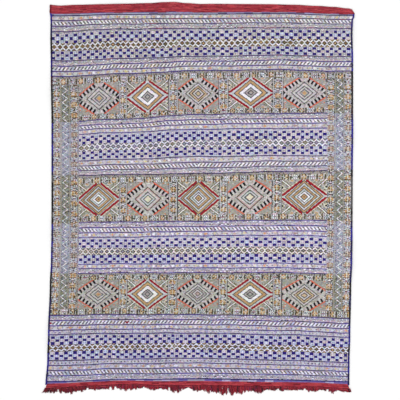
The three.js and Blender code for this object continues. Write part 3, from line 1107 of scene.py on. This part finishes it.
# A layer of patterned weft: every cell of the face is one yarn's pass, with its own dye and height.
# Heights of the grid's corners are the mean of the cells round them; the back is a plain coarser grid.
def wovenLayer(name, top, foot, backHeight):
    inset, block = face["selvedgeInset"], face["blockColumns"]
    u = np.linspace(cloth["left"] + inset, cloth["right"] - inset, face["columns"] + 1)
    v = rowEdges(top, foot)
    cellU, cellV = np.meshgrid((u[1:] + u[:-1]) / 2, (v[1:] + v[:-1]) / 2)
    web = patternOf(cellU, cellV)
    rows, columns = web.shape
    light = dyeTable[web].mean(axis=-1) ** 0.5
    jitter = scatter(np.floor(cellU * 7), np.floor(cellV * 5))
    height = face["proud"] * light + face["unevenness"] * (jitter - 0.5)
    padded = np.pad(height, 1, mode="edge")
    corner = (padded[1:, 1:] + padded[1:, :-1] + padded[:-1, 1:] + padded[:-1, :-1]) / 4
    gridU, gridV = np.meshgrid(u, v)
    upper = layPoint(gridU, gridV, faceHeight + corner)
    lower = layPoint(gridU, gridV, backHeight)
    points = np.vstack([upper.reshape(-1, 3), lower[0], lower[-1], lower[1:-1, ::block].reshape(-1, 3)])
    uvOf = np.vstack([
        np.stack([gridU, gridV], axis=-1).reshape(-1, 2),
        np.stack([gridU[0], gridV[0]], axis=-1),
        np.stack([gridU[-1], gridV[-1]], axis=-1),
        np.stack([gridU[1:-1, ::block], gridV[1:-1, ::block]], axis=-1).reshape(-1, 2),
    ]) * millimetre
    faces = layerFaces(rows, columns)
    weave = uvOf[cornersIn(faces)]
    cellDye = layerDyes(web, cellU, cellV)
    flatDye = cellDye.reshape(-1, 3)
    backCorners = sum(group.size for group in faces[1:4])
    cornerDyes = [np.repeat(flatDye, 4, axis=0), np.tile(flatDye.mean(axis=0), (backCorners, 1))]
    edges = (cellDye[:, 0], cellDye[:, -1], cellDye[0], cellDye[-1])
    cornerDyes += [np.repeat(edge, 4, axis=0) for edge in edges]
    onFace = np.arange(len(weave)) < web.size * 4
    onRight = np.zeros(len(weave), bool)
    onRight[onFace] = np.repeat(cellU.ravel() > (u[0] + u[-1]) / 2, 4)
    return newMesh(name, points, faces, np.vstack(cornerDyes), weave, layerBake(weave, onFace, onRight, u, v))


ground = {
    "columns": 120,
    "rows": 150,
    "inset": 3.5,
    "start": 0.4,
    "mixAcross": (-4.5, -1.5, 1.5, 4.5),   # how far off the cells lie that a place on the back mixes
    "mixAlong": (-4, 0, 4),
}


# The ground that the patterned weft is woven on: a closed sheet from two grids
def groundCloth(name):
    u = np.linspace(cloth["left"] + ground["inset"], cloth["right"] - ground["inset"], ground["columns"] + 1)
    v = np.linspace(ground["start"], cloth["length"] - cloth["partingGap"], ground["rows"] + 1)
    gridU, gridV = np.meshgrid(u, v)
    points = [layPoint(gridU, gridV, height).reshape(-1, 3) for height in (cloth["groundThickness"], 0)]
    upper = np.arange(gridU.size).reshape(gridU.shape)
    lower = upper + gridU.size
    rim = [
        (upper[:, 0], lower[:, 0]),
        (upper[::-1, -1], lower[::-1, -1]),
        (upper[0, ::-1], lower[0, ::-1]),
        (upper[-1], lower[-1]),
    ]
    walls = [np.stack([a[:-1], b[:-1], b[1:], a[1:]], axis=-1) for a, b in rim]
    faces = [facesOf(upper), facesOf(lower)[:, ::-1]] + walls
    corners = cornersIn(faces)
    uvOf = np.tile(np.stack([gridU, gridV], axis=-1).reshape(-1, 2), (2, 1)) * millimetre
    # the back shows the same wefts, mixed: each corner takes the mean of the cells near it
    spread = [(du, dv) for du in ground["mixAcross"] for dv in ground["mixAlong"]]
    mixed = sum(dyeTable[patternOf(gridU + du, gridV + dv)] for du, dv in spread) / len(spread)
    mixed = np.tile(mixed.reshape(-1, 3), (2, 1))
    bake = (uvOf[corners] - uvOf.min(axis=0)) / np.ptp(uvOf, axis=0)
    isTop = np.arange(len(corners)) < faces[0].size
    along = bakeMap["margin"] + bakeMap["span"] * bake[:, 1]
    wide, narrow = [np.stack([start + span * bake[:, 0], along], axis=-1)
                    for start, span in (bakeMap["groundBack"], bakeMap["groundTop"])]
    return newMesh(name, np.vstack(points), faces, mixed[corners], uvOf[corners],
                   np.where(isTop[:, None], narrow, wide))


selvedge = {
    "rings": 1300,
    "sides": 10,
    "halfWidth": 5.2,
    "halfHeight": 2.2,
    "least": 0.02,           # the lowest that its underside comes
    "wrapPitch": 6.2,
    "wrapDepth": 0.12,
    "beadPitch": 23,
    "beadDepth": 0.05,
    "lapWidth": 22,          # round the cord
    "turnsInDye": 5,
    "jitter": 0.10,
    "bakeColumns": 12,
    "bakeStart": 0.05,       # the margin and the width of each column, as shares of it
    "bakeSpan": 0.9,
}
# the cord's dyes down the rug: where each stretch ends
cordDyes = [
    (44, ["red", "darkRed"]), (150, ["navy", "indigo", "royal"]), (240, ["black", "navy"]),
    (355, ["navy", "royal", "indigo"]), (590, ["black", "black", "nearBlack"]),
    (890, ["royal", "indigo", "navy", "royal"]), (1150, ["black", "slate", "black"]),
    (1410, ["royal", "indigo", "navy"]), (1636, ["black", "black", "navy"]),
    (1780, ["royal", "navy", "indigo"]), (1825, ["black", "navy"]), (1990, ["royal", "indigo", "navy"]),
]


# A selvedge cord: an oval section carried along the edge, swelling under each turn of its wrapping
def selvedgeCord(name, side):
    rings, sides = selvedge["rings"], selvedge["sides"]
    v = np.linspace(0, cloth["length"] - cloth["partingGap"], rings)[:, None]
    angle = np.linspace(0, 2 * np.pi, sides, endpoint=False)[None, :]
    wrap = 1 + selvedge["wrapDepth"] * np.abs(np.sin(np.pi * v / selvedge["wrapPitch"] + angle * 0.5))
    wrap = wrap + selvedge["beadDepth"] * np.sin(2 * np.pi * v / selvedge["beadPitch"] + side)
    edge = cloth["right"] if side > 0 else cloth["left"]
    reach = selvedge["halfWidth"] * (wrap - selvedge["wrapDepth"])
    u = edge - side * selvedge["halfWidth"] + side * reach * np.cos(angle)
    z = selvedge["halfHeight"] * (1 + (wrap - selvedge["wrapDepth"]) * np.sin(angle))
    points = layPoint(u, v, np.maximum(z, selvedge["least"])).reshape(-1, 3)
    index = np.arange(rings * sides).reshape(rings, sides)
    caps = [index[0][None, :], index[-1][None, ::-1]]
    skin = facesOf(np.hstack([index, index[:, :1]]))
    lapWidth = selvedge["lapWidth"] * millimetre
    lap = np.broadcast_to(np.linspace(0, lapWidth, sides + 1), (rings, sides + 1))
    skinUv = cellsOf(np.stack([lap, np.broadcast_to(v * millimetre, lap.shape)], axis=-1))
    if side > 0:   # the right cord is the left one's mirror image, so its faces turn the other way
        caps = [cap[:, ::-1] for cap in caps]
        skin = skin[:, ::-1]
        skinUv = skinUv[:, :, ::-1]
    weave = np.vstack([skinUv.reshape(-1, 2), np.zeros((2 * sides, 2))])
    turn = np.floor(v[:-1, 0] / selvedge["wrapPitch"])
    stretch = np.searchsorted([foot for foot, names in cordDyes], v[:-1, 0])
    web = np.zeros(rings - 1, int)
    for number, (foot, names) in enumerate(cordDyes):
        web = np.where(stretch == number, pick(names, np.floor(turn / selvedge["turnsInDye"]), side), web)
    ringDye = dyeTable[web] * (1 + selvedge["jitter"] * rng.standard_normal((rings - 1, 1)))
    cornerDyes = [np.repeat(ringDye, sides * 4, axis=0), np.repeat(ringDye[[0, -1]], sides, axis=0)]
    # bake map: the long cord folded into columns that stand side by side
    columns = selvedge["bakeColumns"]
    run = weave[:, 1] / (cloth["length"] * millimetre) * columns
    faceRun = np.repeat(np.floor((np.arange(rings - 1) + 0.5) / (rings - 1) * columns), sides * 4)
    faceRun = np.concatenate([faceRun, np.zeros(2 * sides)])
    across = (faceRun + selvedge["bakeStart"] + selvedge["bakeSpan"] * weave[:, 0] / lapWidth) / columns
    bake = np.stack([across, bakeMap["margin"] + bakeMap["span"] * (run - faceRun)], axis=-1)
    return newMesh(name, points, [skin] + caps, np.vstack(cornerDyes), weave, bake)


# The fringe: flat matted locks with loose yarns over them, as long as it hangs at each place across
fringe = {
    "yarns": 1650,
    "locks": 300,
    "yarnInset": 3,          # from the nominal edges of the cloth
    "lockInset": 5,
    "yarnsPerTuft": 11,
    "rootDepth": 8,          # how far up on the strip each yarn starts
    "tipReach": 20,          # how far down a strand's lean is read
    "leastYarn": 4,
    "leastLock": 1,
    "tuftLength": (0.62, 1.16),      # shares of the length, by chance
    "yarnLength": (0.80, 1.04),
    "lockLength": (0.50, 0.86),
    "yarnLean": (-0.28, 0.28),
    "yarnCurl": 1.5,
    "lockCurl": 0.8,
    "yarnRings": 6,
    "yarnSides": 4,
    "yarnRadius": (1.5, 0.8),        # at the root and at the tip
    "yarnFlatness": 0.6,
    "lockRings": 5,
    "lockSides": 6,
    "lockHalfWidth": (4.6, 2.3),
    "lockHalfHeight": (1.1, 0.7),
    "size": (0.85, 1.15),
    "jitter": 0.13,
    "looseRise": 2.6,        # over the floor at the root: by chance, always, and for a thick strand
    "rootRise": 1.9,
    "thickRise": 1.4,
    "lapWidth": 1.5,         # round a strand, from one side to the next
    "yarnDyes": ["darkRed", "darkRed", "red", "darkRed", "nearBlack", "crimson", "maroon"],
    "lockDyes": ["darkRed", "darkRed", "crimson", "maroon", "darkRed", "nearBlack"],
    "slits": [-748, -588, -471, -446, -295, -161, 119, 146, 412, 550, 671],
    "slitHalfWidth": 5.2,
    "slitShare": 0.12,       # the length left beside a slit
}
# the part's own table, a row for each tuft: place across, length below the foot strip, and lean
tufts = [
    (-800, 17, -0.42), (-745, 22, -0.2), (-693, 30, 0.1), (-640, 22, 0.16), (-560, 17, 0),
    (-430, 19, -0.14), (-380, 31, 0.1), (-315, 15, 0.08), (-283, 9, 0), (-250, 24, -0.1),
    (-200, 14, 0.1), (-130, 32, 0.16), (-80, 14, -0.12), (-62, 5, 0), (-30, 26, 0.12),
    (10, 24, 0), (50, 36, 0.16), (105, 42, 0.04), (160, 44, -0.12), (220, 34, -0.1),
    (270, 22, 0.12), (315, 34, 0), (350, 13, -0.1), (420, 18, 0.1), (545, 14, 0),
    (595, 24, -0.12), (640, 13, 0.1), (700, 22, 0.14), (724, 8, 0), (760, 14, 0.2), (800, 17, 0.3),
]

fringeShade = {   # painted shade: darker at the left, lighter at the right
    "across": [-800, -560, -420, 800],
    "light": [0.60, 0.74, 1.04, 1.12],
}


# Tapering strands, all made at once. Each starts at its own place across and leans from there:
# u = start + (lean * length + curl * sin(phase + turns * 2 pi t)) t, v = root + length * t,
# and its ring of corners is an ellipse of half width a and half height b round that line
def strands(name, start, length, lean, curl, halfWidth, halfHeight, rings, sides, names):
    count = len(start)
    t = np.linspace(0, 1, rings)[None, :]
    phase = rng.uniform(0, 2 * np.pi, (count, 1))
    turns = rng.uniform(0.5, 1.1, (count, 1))
    curled = curl * np.sin(phase + 2 * np.pi * turns * t) * t
    u = start[:, None] + (lean * length)[:, None] * t + curled
    root = cloth["length"] + cloth["stripWidth"] - fringe["rootDepth"]
    v = root + (length[:, None] + fringe["rootDepth"]) * t
    size = rng.uniform(*fringe["size"], (count, 1))
    a = (halfWidth[0] + (halfWidth[1] - halfWidth[0]) * t ** 2) * size
    b = (halfHeight[0] + (halfHeight[1] - halfHeight[0]) * t ** 2) * size
    # each strand starts on the strip's face and comes down to lie on the floor or on its neighbours
    rise = rng.uniform(0, 1, (count, 1)) * fringe["looseRise"] * (1 - t)
    rise = rise + fringe["rootRise"] * (1 - np.minimum(t * 1.6, 1)) ** 1.5
    z = b * 1.05 + rise * (b < 1) + fringe["thickRise"] * (1 - t) * (b >= 1)
    corner = np.pi / sides + np.arange(sides) * 2 * np.pi / sides
    ringU = u[:, :, None] + a[:, :, None] * np.cos(corner)
    ringZ = z[:, :, None] + b[:, :, None] * np.sin(corner)
    points = layPoint(ringU, v[:, :, None], ringZ - 2 * ripple["height"])
    points[..., 2] = np.maximum(points[..., 2], ringZ * millimetre * 0.2)
    index = np.arange(count * rings * sides).reshape(count, rings, sides)
    following = np.roll(index, -1, axis=2)
    skin = np.stack([index[:, :-1], following[:, :-1], following[:, 1:], index[:, 1:]], axis=-1)
    faces = [skin.reshape(-1, 4), np.concatenate([index[:, 0, ::-1], index[:, -1]])]
    # painted shade across the fringe: darker at the left, lighter at the right
    shade = np.interp(start, fringeShade["across"], fringeShade["light"])[:, None]
    strandDye = dyeTable[pick(names, np.arange(count), 3)]
    strandDye = strandDye * (1 + fringe["jitter"] * rng.standard_normal((count, 1))) * shade
    skinDyes = np.repeat(strandDye, (rings - 1) * sides * 4, axis=0)
    cornerDyes = np.vstack([skinDyes, np.tile(np.repeat(strandDye, sides, axis=0), (2, 1))])
    around = np.arange(sides) * fringe["lapWidth"] * millimetre
    uvOf = np.stack(np.broadcast_arrays(around, (v * millimetre)[:, :, None]), axis=-1)
    weave = np.broadcast_to(uvOf, (count, rings, sides, 2)).reshape(-1, 2)[cornersIn(faces)]
    return newMesh(name, points.reshape(-1, 3), faces, cornerDyes, weave)


# lean and length of a strand from its place across, x on the floor under the foot strip's edge:
# length = the tufts' length where its tip comes
def fallAt(u):
    share = (u - cloth["left"]) / (cloth["right"] - cloth["left"])
    left, right = selvedgeLine["left"][-1], selvedgeLine["right"][-1]
    x = left + (right - left) * share
    across, fall, slope = np.array(tufts).T
    lean = eased(x, across, slope)
    tip = x + lean * fringe["tipReach"]
    length = eased(tip, across, fall)
    near = np.abs(tip[:, None] - np.array(fringe["slits"])[None, :]).min(axis=1) < fringe["slitHalfWidth"]
    return lean, np.maximum(length, 2) * np.where(near, fringe["slitShare"], 1)


# loose yarns, one at a place by chance in each even step, whose tufts differ in length and lean
def fringeYarns(name):
    count = fringe["yarns"]
    span = cloth["right"] - cloth["left"] - 2 * fringe["yarnInset"]
    start = cloth["left"] + fringe["yarnInset"] + (np.arange(count) + rng.uniform(0, 1, count)) / count * span
    lean, length = fallAt(start)
    tuft = np.arange(count) // fringe["yarnsPerTuft"]
    length = length * rng.uniform(*fringe["tuftLength"], tuft[-1] + 1)[tuft]
    length = length * rng.uniform(*fringe["yarnLength"], count)
    lean = lean + rng.uniform(*fringe["yarnLean"], tuft[-1] + 1)[tuft]
    halfHeight = [radius * fringe["yarnFlatness"] for radius in fringe["yarnRadius"]]
    return strands(name, start, np.maximum(length, fringe["leastYarn"]), lean, fringe["yarnCurl"],
                   fringe["yarnRadius"], halfHeight, fringe["yarnRings"], fringe["yarnSides"],
                   fringe["yarnDyes"])


# matted locks, one in the middle of each even step
def fringeLocks(name):
    count = fringe["locks"]
    span = cloth["right"] - cloth["left"] - 2 * fringe["lockInset"]
    start = cloth["left"] + fringe["lockInset"] + (np.arange(count) + 0.5) / count * span
    lean, length = fallAt(start)
    length = length * rng.uniform(*fringe["lockLength"], count)
    return strands(name, start, np.maximum(length, fringe["leastLock"]), lean, fringe["lockCurl"],
                   fringe["lockHalfWidth"], fringe["lockHalfHeight"], fringe["lockRings"],
                   fringe["lockSides"], fringe["lockDyes"])


# Materials

woolLook = {
    "roughness": 0.92,
    "specular": 0.18,
    "sheen": 0.18,
    "sheenRoughness": 0.5,
    "bumpDistance": 0.0006,
    "bumpStrength": 0.55,
    "furrow": (0.80, 0.30),   # the shade in a furrow, and what a rib adds to it
    "beadShare": 0.5,         # how much the warp beads take part in that, and in the height
    "beadHeight": 0.45,
    "fibreHeight": 0.5,
    "fibreShade": 0.22,
    "streakShare": 0.9,       # of the wear
    "fibre": (1400, 3),       # scale and detail of each noise
    "patch": (7, 3),
    "streak": (60, 2),
}
wools = {   # pitch of the weft ribs and of the warp under them, in millimetres, and how far the dye has worn
    "patterned_wool": (1.55, 3.4, 0.16),
    "plain_red_wool": (1.55, 3.4, 0.30),
    "ground_wool": (3.0, 3.4, 0.16),
    "selvedge_wool": (1.6, 2.2, 0.16),
    "fringe_wool": (1.9, 1.5, 0.35),
}


# Wool cloth from its dye attribute: brightness = dye * wear noise * shade in the furrows between ribs,
# and height = |sin| ribs along v crossed by warp beads along u, plus fine fibre noise
def clothMaterial(name, ribPitch, warpPitch, wear):
    material = bpy.data.materials.new(name)
    material.use_nodes = True
    nodes, links = material.node_tree.nodes, material.node_tree.links
    shader = nodes["Principled BSDF"]
    shader.inputs["Roughness"].default_value = woolLook["roughness"]
    shader.inputs["Specular IOR Level"].default_value = woolLook["specular"]
    shader.inputs["Sheen Weight"].default_value = woolLook["sheen"]
    shader.inputs["Sheen Roughness"].default_value = woolLook["sheenRoughness"]
    place = nodes.new("ShaderNodeTexCoord")

    def calculate(operation, first, second=None):
        node = nodes.new("ShaderNodeMath")
        node.operation = operation
        for socket, value in ((0, first), (1, second)):
            if isinstance(value, (int, float)):
                node.inputs[socket].default_value = value
            elif value is not None:
                links.new(value, node.inputs[socket])
        return node.outputs[0]

    def plus(first, second):
        return calculate("ADD", first, second)

    def times(first, second):
        return calculate("MULTIPLY", first, second)

    # |sin| ribs, one to each pitch
    def ribs(along, pitch):
        return calculate("ABSOLUTE", calculate("SINE", times(along, np.pi / (pitch * millimetre))))

    # the weft's ribs, lowered by so much between the beads
    def crossed(share):
        return times(weft, plus(times(bead, share), 1 - share))

    def noise(kind):
        node = nodes.new("ShaderNodeTexNoise")
        node.inputs["Scale"].default_value, node.inputs["Detail"].default_value = woolLook[kind]
        node.inputs["Roughness"].default_value = 0.6
        links.new(place.outputs["Object"], node.inputs["Vector"])
        return node.outputs["Fac"]

    # a noise about its middle, as far up and down as given
    def swing(value, amount):
        return times(calculate("SUBTRACT", value, 0.5), amount)

    dye = nodes.new("ShaderNodeVertexColor")
    dye.layer_name = "dye"
    uv = nodes.new("ShaderNodeUVMap")
    uv.uv_map = "weave"
    split = nodes.new("ShaderNodeSeparateXYZ")
    links.new(uv.outputs["UV"], split.inputs["Vector"])
    weft = ribs(split.outputs["Y"], ribPitch)
    bead = ribs(split.outputs["X"], warpPitch)
    fibre, patch, streak = noise("fibre"), noise("patch"), noise("streak")
    furrow, rib = woolLook["furrow"]
    tone = plus(swing(patch, wear), 1.0)
    tone = plus(tone, swing(streak, wear * woolLook["streakShare"]))
    tone = plus(tone, swing(fibre, woolLook["fibreShade"]))
    tone = times(tone, plus(times(crossed(woolLook["beadShare"]), rib), furrow))
    scaled = nodes.new("ShaderNodeVectorMath")
    scaled.operation = "SCALE"
    links.new(dye.outputs["Color"], scaled.inputs[0])
    links.new(tone, scaled.inputs["Scale"])
    links.new(scaled.outputs["Vector"], shader.inputs["Base Color"])
    bump = nodes.new("ShaderNodeBump")
    bump.inputs["Strength"].default_value = woolLook["bumpStrength"]
    bump.inputs["Distance"].default_value = woolLook["bumpDistance"]
    relief = plus(crossed(woolLook["beadHeight"]), times(fibre, woolLook["fibreHeight"]))
    links.new(relief, bump.inputs["Height"])
    links.new(bump.outputs["Normal"], shader.inputs["Normal"])
    return material


wool = {name: clothMaterial(name, *look) for name, look in wools.items()}


# Build

# gives a piece its wool, its body and its slot
def dress(piece, material):
    piece.data.materials.append(wool[material])
    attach(piece, "root")
    print(f"{piece.name}: {len(piece.data.polygons)} faces")
    return piece


groundPiece = dress(groundCloth("ground_cloth"), "ground_wool")
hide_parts("rug")

backHeight = cloth["groundThickness"] - cloth["backSunk"]
faceHeight = cloth["groundThickness"] + cloth["faceThickness"] - cloth["faceSunk"]
layerNames = ["plain_red_end", "striped_field_1", "panel_band_1", "striped_field_2", "panel_band_2",
              "striped_field_3", "panel_band_3", "striped_field_4"]
panelEdges = [edge for kind, top, foot, needs in bands if kind == "panels" for edge in (top, foot)]
layerEdges = [0, ends["redFoot"]] + panelEdges + [cloth["length"] - cloth["partingGap"]]
for layerName, layerTop, layerFoot in zip(layerNames, layerEdges, layerEdges[1:]):
    material = "plain_red_wool" if layerName == "plain_red_end" else "patterned_wool"
    dress(wovenLayer(layerName, layerTop, layerFoot, backHeight), material)

cordPieces = [dress(selvedgeCord(f"selvedge_cord_{word}", side), "selvedge_wool")
              for word, side in (("left", -1), ("right", 1))]

stripFoot = cloth["length"] + cloth["stripWidth"]
stripPiece = dress(wovenLayer("foot_strip", cloth["length"], stripFoot, 0), "plain_red_wool")
yarnPiece = dress(fringeYarns("fringe_yarns"), "fringe_wool")
lockPiece = dress(fringeLocks("fringe_locks"), "fringe_wool")
for piece in (stripPiece, yarnPiece, lockPiece):
    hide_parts("fringe")

# The floor, the light and the camera

studio = {
    "floorHalf": 9,
    "floorDrop": 0.0004,
    "floorShade": 0.98,
    "floorRoughness": 0.8,
    "worldStrength": 0.86,
    "sunStrength": 0.75,
    "sunAngle": 0.35,
    "sunTilt": (0.62, -0.45, 0.0),
    "sensorWidth": 36,
    "cameraHeight": 8.0,
    "fieldWidth": 2.1,          # what the picture's 400 pixels take in
    "middle": (0.0031, -0.0071),
}
half = studio["floorHalf"]
floorMesh = bpy.data.meshes.new("floor")
floorCorners = [(x * half, y * half, -studio["floorDrop"]) for x, y in ((-1, -1), (1, -1), (1, 1), (-1, 1))]
floorMesh.from_pydata(floorCorners, [], [(0, 1, 2, 3)])
floor = bpy.data.objects.new("floor", floorMesh)
bpy.context.scene.collection.objects.link(floor)
floorPaint = bpy.data.materials.new("floor_paint")
floorPaint.use_nodes = True
floorShader = floorPaint.node_tree.nodes["Principled BSDF"]
floorShader.inputs["Base Color"].default_value = (*[studio["floorShade"]] * 3, 1)
floorShader.inputs["Roughness"].default_value = studio["floorRoughness"]
floorMesh.materials.append(floorPaint)

world = bpy.data.worlds.new("studio")
world.use_nodes = True
world.node_tree.nodes["Background"].inputs["Color"].default_value = (1, 1, 1, 1)
world.node_tree.nodes["Background"].inputs["Strength"].default_value = studio["worldStrength"]
bpy.context.scene.world = world

sunData = bpy.data.lights.new("sun", "SUN")
sunData.energy = studio["sunStrength"]
sunData.angle = studio["sunAngle"]
sun = bpy.data.objects.new("sun", sunData)
sun.rotation_euler = studio["sunTilt"]
bpy.context.scene.collection.objects.link(sun)

cameraData = bpy.data.cameras.new("camera")
cameraData.sensor_width = studio["sensorWidth"]
cameraData.lens = cameraData.sensor_width * studio["cameraHeight"] / studio["fieldWidth"]
camera = bpy.data.objects.new("camera", cameraData)
camera.location = (*studio["middle"], studio["cameraHeight"])
bpy.context.scene.collection.objects.link(camera)
bpy.context.scene.camera = camera
bpy.context.scene.view_settings.view_transform = "Standard"
print("studio ready")
